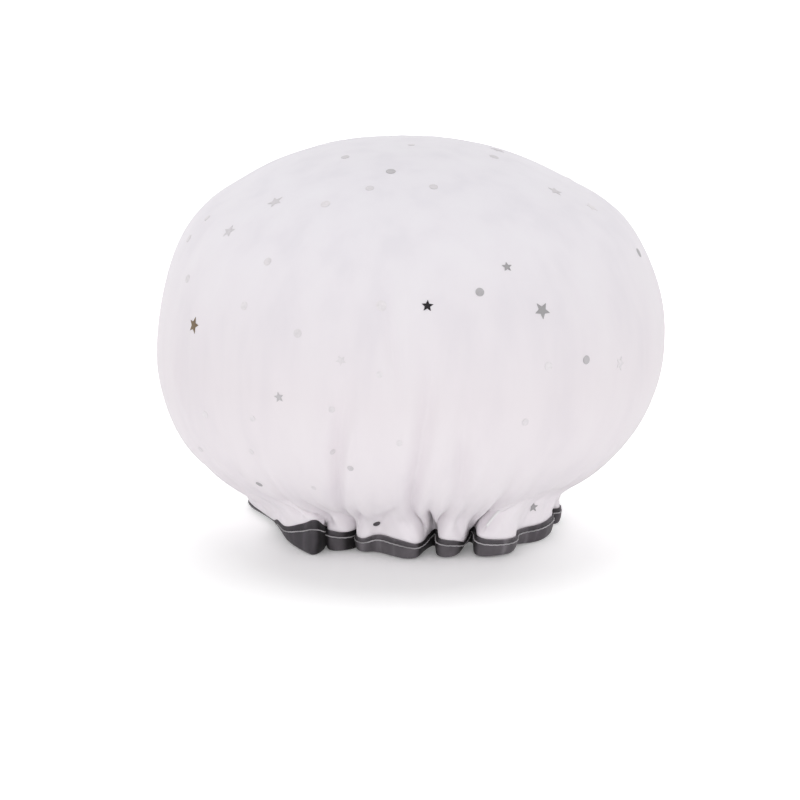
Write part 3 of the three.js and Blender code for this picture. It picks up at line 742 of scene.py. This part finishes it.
def openness(path, out):
    """How much of the light from outside would reach each place of the hem, seen in plan, for the shade
    painted into the tape.
    """
    start = in_plan(path + LIGHT_START * out)[:, None]
    edge_start = in_plan(path)[None, ::LIGHT_STEP]
    edge = np.roll(edge_start, -1, axis=1) - edge_start
    gap = edge_start - start
    open_share = np.zeros(len(path))
    for angle in LIGHT_ANGLES:
        ray = LIGHT_REACH * np.exp(1j * angle) * in_plan(out)[:, None]
        on_ray = cross(gap, edge) / cross(ray, edge)
        on_edge = cross(gap, ray) / cross(ray, edge)
        met = (on_ray > LIGHT_NEAREST) & (on_ray < 1) & (on_edge >= 0) & (on_edge <= 1)
        open_share += math.cos(angle) * ~met.any(axis=1)
    return open_share / np.cos(LIGHT_ANGLES).sum()


def painted_hem_light(hem):
    """Light painted into the binding along the hem: less in its creases, and less on the right-hand sides of
    its lobes.
    """
    light = soften(openness(hem.top, hem.out)[:, None], LIGHT_SPREAD)[:, 0]
    rightward = np.maximum(cross(in_plan(unit(hem.top[:, :2])), in_plan(hem.out)), 0)
    return light - PAINTED_FLANK_SHADE * (PAINTED_FLANK_LIGHT - light) * rightward


class Hem:
    """The binding's path with its directions, for laying pieces along it."""

    def __init__(self, foot, top, length):
        self.foot = foot
        self.top = top
        self.length = length
        self.along = np.arange(len(top)) * length / len(top)
        stitch = top + STITCH_FALL * (foot - top)
        ahead = np.roll(stitch, -1, axis=0) - np.roll(stitch, 1, axis=0)
        self.out = unit(np.cross(ahead, top - foot))
        from_back = np.minimum(self.along, length - self.along)
        self.lap = np.where(from_back <= TAPE_LAP / 2, TAPE_THICKNESS, 0)

    def place(self, out, fall, columns=slice(None)):
        """Points at a distance out from the hem's middle and a share of the way down from its top."""
        top, foot = self.top[columns], self.foot[columns]
        bulge = 4 * BINDING_BULGE * fall * (1 - fall)
        return top + (foot - top) * fall + self.out[columns] * np.broadcast_to(out + bulge, len(top))[:, None]


def tape_line(hem, share, fall, side):
    """One line of the binding's section, all round the hem, drawn in where it is stitched."""
    out = share * (HALF_BINDING + hem.lap)
    if fall == STITCH_FALL:
        pulse = np.cos(2 * np.pi * hem.along / STITCH_LENGTH)
        out -= STITCH_SINK * (1 - STITCH_PULSE + STITCH_PULSE * pulse)
    return hem.place(side * out, fall)


def make_binding(hem):
    outside = TAPE_FACE + TAPE_CHANNEL
    inside = outside[:0:-1]
    lines = [tape_line(hem, share, fall, 1) for share, fall in outside]
    lines += [tape_line(hem, share, fall, -1) for share, fall in inside]
    sections = np.stack(lines, axis=1)
    across = np.append(way_along(sections[0]), 0)
    binding = loft("binding_tape", sections, strip_uv(np.append(hem.along, hem.length), across))
    falls = [fall for _, fall in outside + inside]
    mark_points(binding, "fall", np.tile(falls, len(sections)))
    # the light that is painted into the tape's colour, as a value on its points
    mark_points(binding, "open", np.repeat(painted_hem_light(hem), len(lines)))
    return dress(binding, binding_material(), "binding_tape", "hem_binding")


def make_thread(hem, name, side, node, material):
    """A row of stitches that lies on one side of the binding and dips at every needle hole."""
    dip = np.abs(np.cos(np.pi * hem.along / STITCH_LENGTH)) ** DIP_SHARPNESS
    stand = THREAD_RADIUS * (THREAD_STAND - THREAD_DIP * dip)
    middle = hem.place(side * (HALF_BINDING + hem.lap - THREAD_BED * STITCH_SINK + stand), STITCH_FALL)
    up = unit(hem.top - hem.foot)
    turns = 2 * np.pi * np.arange(THREAD_SIDES) / THREAD_SIDES
    rings = [middle + THREAD_RADIUS * (np.cos(turn) * hem.out + np.sin(turn) * up) for turn in turns]
    uv = strip_uv(np.append(hem.along, hem.length), np.arange(THREAD_SIDES + 1) * THREAD_RADIUS)
    return dress(loft(name, np.stack(rings, axis=1), uv), material, "sewing_thread", node)


def make_elastic(hem):
    """The ribbed elastic in the binding's channel, its ends passing each other at the back."""
    step = hem.length / HEM_COLUMNS
    spare = round(ELASTIC_LAP / 2 / step)
    columns = np.arange(-spare, HEM_COLUMNS + spare + 1)
    along = columns * step
    aside = 1 - smooth(ELASTIC_LAP / 2, ELASTIC_LAP, along)
    aside -= smooth(hem.length - ELASTIC_LAP, hem.length - ELASTIC_LAP / 2, along)
    rib = 1 - RIB_DEPTH * (1 + np.cos(2 * np.pi * along / ELASTIC_RIB))
    high, low = ELASTIC_FALL
    bevel = ELASTIC_BEVEL * (low - high)
    outline = [(0.5, low), (1, low - bevel), (1, high + bevel), (0.5, high)]
    outline += [(-share, fall) for share, fall in outline[::-1]]
    lines = []
    for share, fall in outline:
        out = ELASTIC_SHIFT * aside + share * ELASTIC_HALF * rib
        lines.append(hem.place(out, fall, columns % HEM_COLUMNS))
    uv = strip_uv(along, np.arange(len(lines) + 1) * MM)
    strip = loft("elastic_strip", np.stack(lines, axis=1), uv, closed=False)
    return dress(strip, elastic_material(), "elastic_strip", "hem_elastic")


# Foils

def foil_outline(kind):
    """Corners of a star or dot of reach 1."""
    if kind == "star":
        corners = np.arange(2 * STAR_POINTS)
        reach = np.where(corners % 2, STAR_WAIST, 1.0)
    else:
        corners = np.arange(DOT_SIDES)
        reach = np.ones(DOT_SIDES)
    turns = 2 * np.pi * corners / len(corners)
    return np.stack([reach * np.cos(turns), reach * np.sin(turns)], axis=1)


def lay_foil(name, kind, centre, reach, first, cloth):
    """A thin foil that follows the cloth under it, with its first corner towards a direction."""
    inward = -Vector((centre.x, centre.y, max(centre.z - MIDDLE_HEIGHT, 0))).normalized()
    place, normal, _, _ = cloth.ray_cast(centre - inward * SEARCH_START, inward)
    along = (first - first.dot(normal) * normal).normalized()
    aside = normal.cross(along)
    rings = []
    for share in FOIL_RINGS:
        ring = []
        for x, y in foil_outline(kind) * reach * share:
            flat = place + along * x + aside * y
            meeting, facing, _, _ = cloth.ray_cast(flat + normal * DROP_START, -normal, DROP_REACH)
            if meeting is None:
                meeting, facing = flat, normal
            ring.append((meeting, facing))
        rings.append(ring)
    upper = [[meeting + facing * (FOIL_LIFT + FOIL_THICKNESS) for meeting, facing in ring] for ring in rings]
    lower = [[meeting + facing * FOIL_LIFT for meeting, facing in ring] for ring in rings]
    sections = np.array(upper + lower[::-1]).transpose(1, 0, 2)
    uv = np.zeros((sections.shape[0] + 1, sections.shape[1] + 1, 2))
    foil = loft(name, sections[:, ::-1], uv)
    foil.data.shade_flat()
    return foil


def make_faint_marks(cloth, materials):
    """Foils that hardly show, which the CAD leaves out."""
    radius, height, along = cap_profile()
    first = Vector((1, 0, 0))
    marks = []
    for number, (azimuth, away, size, tone) in enumerate(FAINT_MARKS, 1):
        out, rise = np.interp(away * MM, along, radius), np.interp(away * MM, along, height)
        centre = Vector(round_place(np.radians(azimuth), out, rise))
        mark = lay_foil(f"faint_dot_{number:02d}", "dot", centre, size / 2 * MM, first, cloth)
        marks.append(dress(mark, materials[tone], "foil_silver"))
    return marks


def make_foils(cloth):
    """A foil on the cloth for each of the CAD's, and the faint ones."""
    materials = {tone: foil_material(tone) for tone in PAINTED_FOIL_TONES}
    foils = make_faint_marks(cloth, materials)
    for node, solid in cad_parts.items():
        if not node.startswith("foil_"):
            continue
        corners = np.array([corner.co for corner in solid.data.vertices])
        centre = corners.mean(axis=0)
        spokes = corners - centre
        reach = np.linalg.norm(spokes, axis=1)
        farthest = spokes[reach.argmax()]
        name = node.removeprefix("foil_")
        kind = name.split("_")[0]
        foil = lay_foil("laid_" + name, kind, Vector(centre), reach.max(), Vector(farthest), cloth)
        tone = next((tone for tone, (_, _, names) in PAINTED_FOIL_TONES.items() if name in names.split()), "pale")
        slot = "foil_bronze" if tone == "bronze" else "foil_silver"
        foils.append(dress(foil, materials[tone], slot, node))
    return foils


# Shader nodes

def new_material(name):
    """A material with its shader and the coordinates on its surface."""
    material = bpy.data.materials.new(name)
    material.use_nodes = True
    tree = material.node_tree
    return material, tree.nodes["Principled BSDF"], add_node(tree, "TexCoord").outputs


def set_inputs(node, inputs):
    """Sets inputs of a node to values, or links them where they are given as sockets."""
    for name, value in inputs.items():
        if isinstance(value, bpy.types.NodeSocket):
            node.id_data.links.new(value, node.inputs[name])
        else:
            node.inputs[name].default_value = value


def add_node(tree, kind, inputs=None, **settings):
    """A shader node with its settings and inputs."""
    node = tree.nodes.new("ShaderNode" + kind)
    for name, value in settings.items():
        setattr(node, name, value)
    set_inputs(node, inputs or {})
    return node


def grey(level):
    return (level, level, level)


def mix_colours(share, first, second):
    """A colour between two others. The mix node's colour sockets are 6, 7 and 2."""
    inputs = {0: share, 6: (*first, 1), 7: (*second, 1)}
    return add_node(share.id_data, "Mix", inputs, data_type="RGBA").outputs[2]


def tinted(colour, tint):
    inputs = {0: 1.0, 6: colour, 7: tint}
    return add_node(colour.id_data, "Mix", inputs, data_type="RGBA", blend_type="MULTIPLY").outputs[2]


def colour_stops(value, stops):
    """A colour ramp over a value, with its stops given as places and colours."""
    ramp = add_node(value.id_data, "ValToRGB", {"Fac": value})
    elements = ramp.color_ramp.elements
    while len(elements) < len(stops):
        elements.new(0.5)
    for element, (place, colour) in zip(elements, stops):
        element.position = place
        element.color = (*colour, 1)
    return ramp.outputs["Color"]


def ranged(value, start=(0.0, 1.0), end=(0.0, 1.0), interpolation="LINEAR"):
    """A value carried from one range over to another."""
    inputs = {"Value": value, "From Min": start[0], "From Max": start[1], "To Min": end[0], "To Max": end[1]}
    return add_node(value.id_data, "MapRange", inputs, interpolation_type=interpolation).outputs["Result"]


def clouds(place, scale, detail=2.0):
    inputs = {"Vector": place, "Scale": scale, "Detail": detail}
    return add_node(place.id_data, "TexNoise", inputs).outputs["Fac"]


def stripes(place, pitch, direction="X"):
    inputs = {"Vector": place, "Scale": WAVE_PITCH / pitch}
    return add_node(place.id_data, "TexWave", inputs, bands_direction=direction).outputs["Fac"]


def mapped(place, change, amount):
    """Places after a change of rotation or scale."""
    return add_node(place.id_data, "Mapping", {"Vector": place, change: amount}).outputs["Vector"]


def part_of(place, axis):
    return add_node(place.id_data, "SeparateXYZ", {"Vector": place}).outputs[axis]


def point_value(user, name):
    """A value of a piece's points, for the tree of a node or socket."""
    return add_node(user.id_data, "Attribute", attribute_name=name).outputs["Fac"]


def weave_height(flat, pitch):
    """Threads crossing at right angles, over and under in turn."""
    warp = stripes(flat, pitch, "X")
    weft = stripes(flat, pitch, "Y")
    return add_node(flat.id_data, "Math", {0: warp, 1: weft}, operation="MULTIPLY").outputs[0]


def add_bump(shader, height, distance, strength):
    bump = add_node(shader.id_data, "Bump", {"Height": height, "Distance": distance, "Strength": strength})
    set_inputs(shader, {"Normal": bump.outputs["Normal"]})


# Materials

def cover_material():
    """White sheer cloth with soft upward streaks, its colour painted with light: cooler at the crown, paler
    and warmer at the hem.
    """
    material, shader, places = new_material("cover_cloth")
    height = ranged(part_of(places["Object"], "Z"), PAINTED_TINT_SPAN)
    # painted light: cool from above at the crown, and paler and warmer at the hem, as with bounced light and
    # light scattered through the cloth
    colour = colour_stops(height, [
        (0.0, (0.875, 0.835, 0.865)), (0.43, (0.84, 0.793, 0.822)), (1.0, (0.848, 0.825, 0.866)),
    ])
    streaks = clouds(mapped(places["Object"], "Scale", (1, 1, 0.2)), 55.0, 3.0)
    colour = tinted(colour, colour_stops(streaks, [
        (0.32, (0.95, 0.945, 0.955)), (0.5, (0.985, 0.98, 0.985)), (0.68, grey(1.0)),
    ]))
    set_inputs(shader, {
        "Base Color": colour, "Roughness": ranged(streaks, end=(0.7, 0.9)),
        "Specular IOR Level": 0.25, "Sheen Weight": 0.15, "Sheen Roughness": 0.5,
    })
    add_bump(shader, weave_height(places["UV"], COVER_PITCH), 0.03 * MM, 0.35)
    return material


def liner_material():
    """White waterproof film with a soft shine and a fine crinkle."""
    material, shader, places = new_material("liner_film")
    crinkle = clouds(places["Object"], 160.0, 4.0)
    colour = mix_colours(crinkle, (0.80, 0.79, 0.80), (0.88, 0.87, 0.88))
    set_inputs(shader, {"Base Color": colour, "Roughness": 0.38, "Coat Weight": 0.2})
    add_bump(shader, crinkle, 0.4 * MM, 0.4)
    return material


def painted_tape_shade(place):
    """Painted shade on the tape in deep creases and on the right-hand sides of its lobes, and a darker tone
    towards the hem's left and right ends.
    """
    light = ranged(point_value(place, "open"), (0.45, 0.9), interpolation="SMOOTHSTEP")
    across = ranged(part_of(place, "X"), TAPE_SPAN)
    return [
        mix_colours(light, (0.06, 0.045, 0.055), grey(1.0)),
        colour_stops(across, [
            (0.22, (0.42, 0.41, 0.44)), (0.33, grey(1.0)), (0.77, grey(1.0)), (0.84, (0.7, 0.68, 0.7)),
        ]),
    ]


def binding_material():
    """Dark grey twill tape, with painted shade in the strip above the stitch line, and worn pale along its
    edges.
    """
    material, shader, places = new_material("binding_tape")
    twill = stripes(mapped(places["UV"], "Rotation", (0, 0, TWILL_SLANT)), TWILL_PITCH)
    cloud = clouds(places["Object"], 130.0, 4.0)
    rubbed = clouds(mapped(places["UV"], "Scale", (1, 0.12, 1)), 210.0, 1.0)
    stops = [(place, (level, TAPE_GREEN * level, level)) for place, level in TAPE_GREYS_AND_SHADE]
    colour = colour_stops(point_value(shader, "fall"), stops)
    tints = [
        mix_colours(cloud, grey(0.6), grey(1.35)),
        mix_colours(twill, grey(0.88), grey(1.08)),
        colour_stops(rubbed, [(0.35, grey(0.88)), (0.55, grey(1.0)), (0.72, grey(1.6))]),
    ]
    # the tape's own tints, then the shade painted into it
    for tint in tints + painted_tape_shade(places["Object"]):
        colour = tinted(colour, tint)
    set_inputs(shader, {
        "Base Color": colour, "Roughness": ranged(cloud, end=(0.55, 0.8)),
        "Specular IOR Level": 0.3, "Sheen Weight": 0.05,
    })
    add_bump(shader, twill, 0.05 * MM, 0.4)
    return material


def thread_material():
    """Grey twisted sewing thread, paler than the tape."""
    material, shader, places = new_material("sewing_thread")
    twist = stripes(mapped(places["UV"], "Rotation", (0, 0, TWIST_SLANT)), TWIST_PITCH)
    colour = mix_colours(twist, (0.3, 0.285, 0.3), (0.5, 0.485, 0.5))
    cloud = clouds(places["Object"], 75.0)
    colour = tinted(colour, colour_stops(cloud, [(0.35, grey(0.6)), (0.65, grey(1.3))]))
    set_inputs(shader, {"Base Color": colour, "Roughness": 0.55, "Sheen Weight": 0.3})
    add_bump(shader, twist, 0.06 * MM, 0.6)
    return material


def elastic_material():
    """Off-white woven elastic."""
    material, shader, places = new_material("elastic_strip")
    height = weave_height(places["UV"], ELASTIC_PITCH)
    colour = mix_colours(height, (0.62, 0.61, 0.58), (0.84, 0.83, 0.80))
    set_inputs(shader, {"Base Color": colour, "Roughness": 0.8})
    add_bump(shader, height, 0.1 * MM, 0.6)
    return material


def foil_material(tone):
    """Thin hot-stamped foil in its tone's painted reflection, a little uneven, with patches of painted glints
    and dull spots.
    """
    material, shader, places = new_material("foil_" + tone)
    cloud = clouds(places["Object"], 700.0)
    base, metallic, _ = PAINTED_FOIL_TONES[tone]
    dull, bright = (tuple(min(1, share * part) for part in base) for share in PAINTED_GLINT_RANGE)
    set_inputs(shader, {
        "Base Color": mix_colours(cloud, dull, bright), "Metallic": metallic,
        "Roughness": ranged(cloud, end=(0.45, 0.6)),
    })
    add_bump(shader, cloud, 0.1 * MM, 0.3)
    return material


# Floor, background and light

def seen_ray(tree):
    """1 for what the camera sees, itself or in metal and glass, and 0 for light."""
    path = add_node(tree, "LightPath").outputs
    seen = path["Is Camera Ray"]
    for name in ("Is Glossy Ray", "Is Transmission Ray"):
        seen = add_node(tree, "Math", {0: seen, 1: path[name]}, operation="MAXIMUM").outputs[0]
    return seen


def floor_material():
    """White floor with a glow painted round the cap's cast shadow, which gives the shadow its outline and
    ends it in the plain background.
    """
    material, shader, places = new_material("floor")
    tree = material.node_tree
    tree.nodes.remove(shader)
    spread = add_node(tree, "Mapping", {
        "Vector": places["Object"], "Location": (*SHADOW_MIDDLE, 0), "Scale": (*SHADOW_REACH, 1),
    }, vector_type="TEXTURE").outputs["Vector"]
    away = add_node(tree, "VectorMath", {0: spread}, operation="LENGTH").outputs["Value"]
    level = ranged(away, (SHADOW_CORE, 1.0), (FLOOR_GLOW, 1.0))
    strength = ranged(seen_ray(tree), end=(FLOOR_BOUNCE, level))
    diffuse = add_node(tree, "BsdfDiffuse", {"Color": (*FLOOR_COLOUR, 1)}).outputs[0]
    glow = add_node(tree, "Emission", {"Strength": strength}).outputs[0]
    both = add_node(tree, "AddShader", {0: diffuse, 1: glow}).outputs[0]
    set_inputs(tree.nodes["Material Output"], {"Surface": both})
    return material


def make_floor():
    mesh = bpy.data.meshes.new("floor")
    half = FLOOR_SIZE / 2
    corners = [(-half, -half, 0), (half, -half, 0), (half, half, 0), (-half, half, 0)]
    mesh.from_pydata(corners, [], [(0, 1, 2, 3)])
    mesh.materials.append(floor_material())
    put("floor", mesh)


def make_background():
    """A studio that is plain white to the camera and brighter near the horizon as light."""
    world = bpy.data.worlds.new("studio")
    world.use_nodes = True
    scene.world = world
    tree = world.node_tree
    direction = add_node(tree, "TexCoord").outputs["Generated"]
    height = part_of(direction, "Z")
    light = ranged(height, (0.0, HORIZON_TOP), (HORIZON_LIGHT, ZENITH_LIGHT), "SMOOTHSTEP")
    strength = ranged(seen_ray(tree), end=(light, 1.0))
    set_inputs(tree.nodes["Background"], {"Color": (1, 1, 1, 1), "Strength": strength})
    scene.view_settings.view_transform = "Standard"


def make_lamps():
    for name, (power, side, place) in LAMPS.items():
        data = bpy.data.lights.new(name, "AREA")
        data.energy = power
        data.size = side
        lamp = put(name, data)
        lamp.location = place
        aim = Vector((0, 0, MIDDLE_HEIGHT)) - Vector(place)
        lamp.rotation_euler = aim.to_track_quat("-Z", "Y").to_euler()


# The whole cap

make_camera()
make_floor()
make_background()
make_lamps()

foot, top, hem_length = hem_path()
hem = Hem(foot, top, hem_length)
cover, liner, cover_face = make_cloths(foot, top)
binding = make_binding(hem)
thread = thread_material()
needle = make_thread(hem, "needle_stitches", 1, "needle_thread", thread)
bobbin = make_thread(hem, "bobbin_stitches", -1, "bobbin_thread", thread)
make_elastic(hem)
foils = make_foils(cover_face)
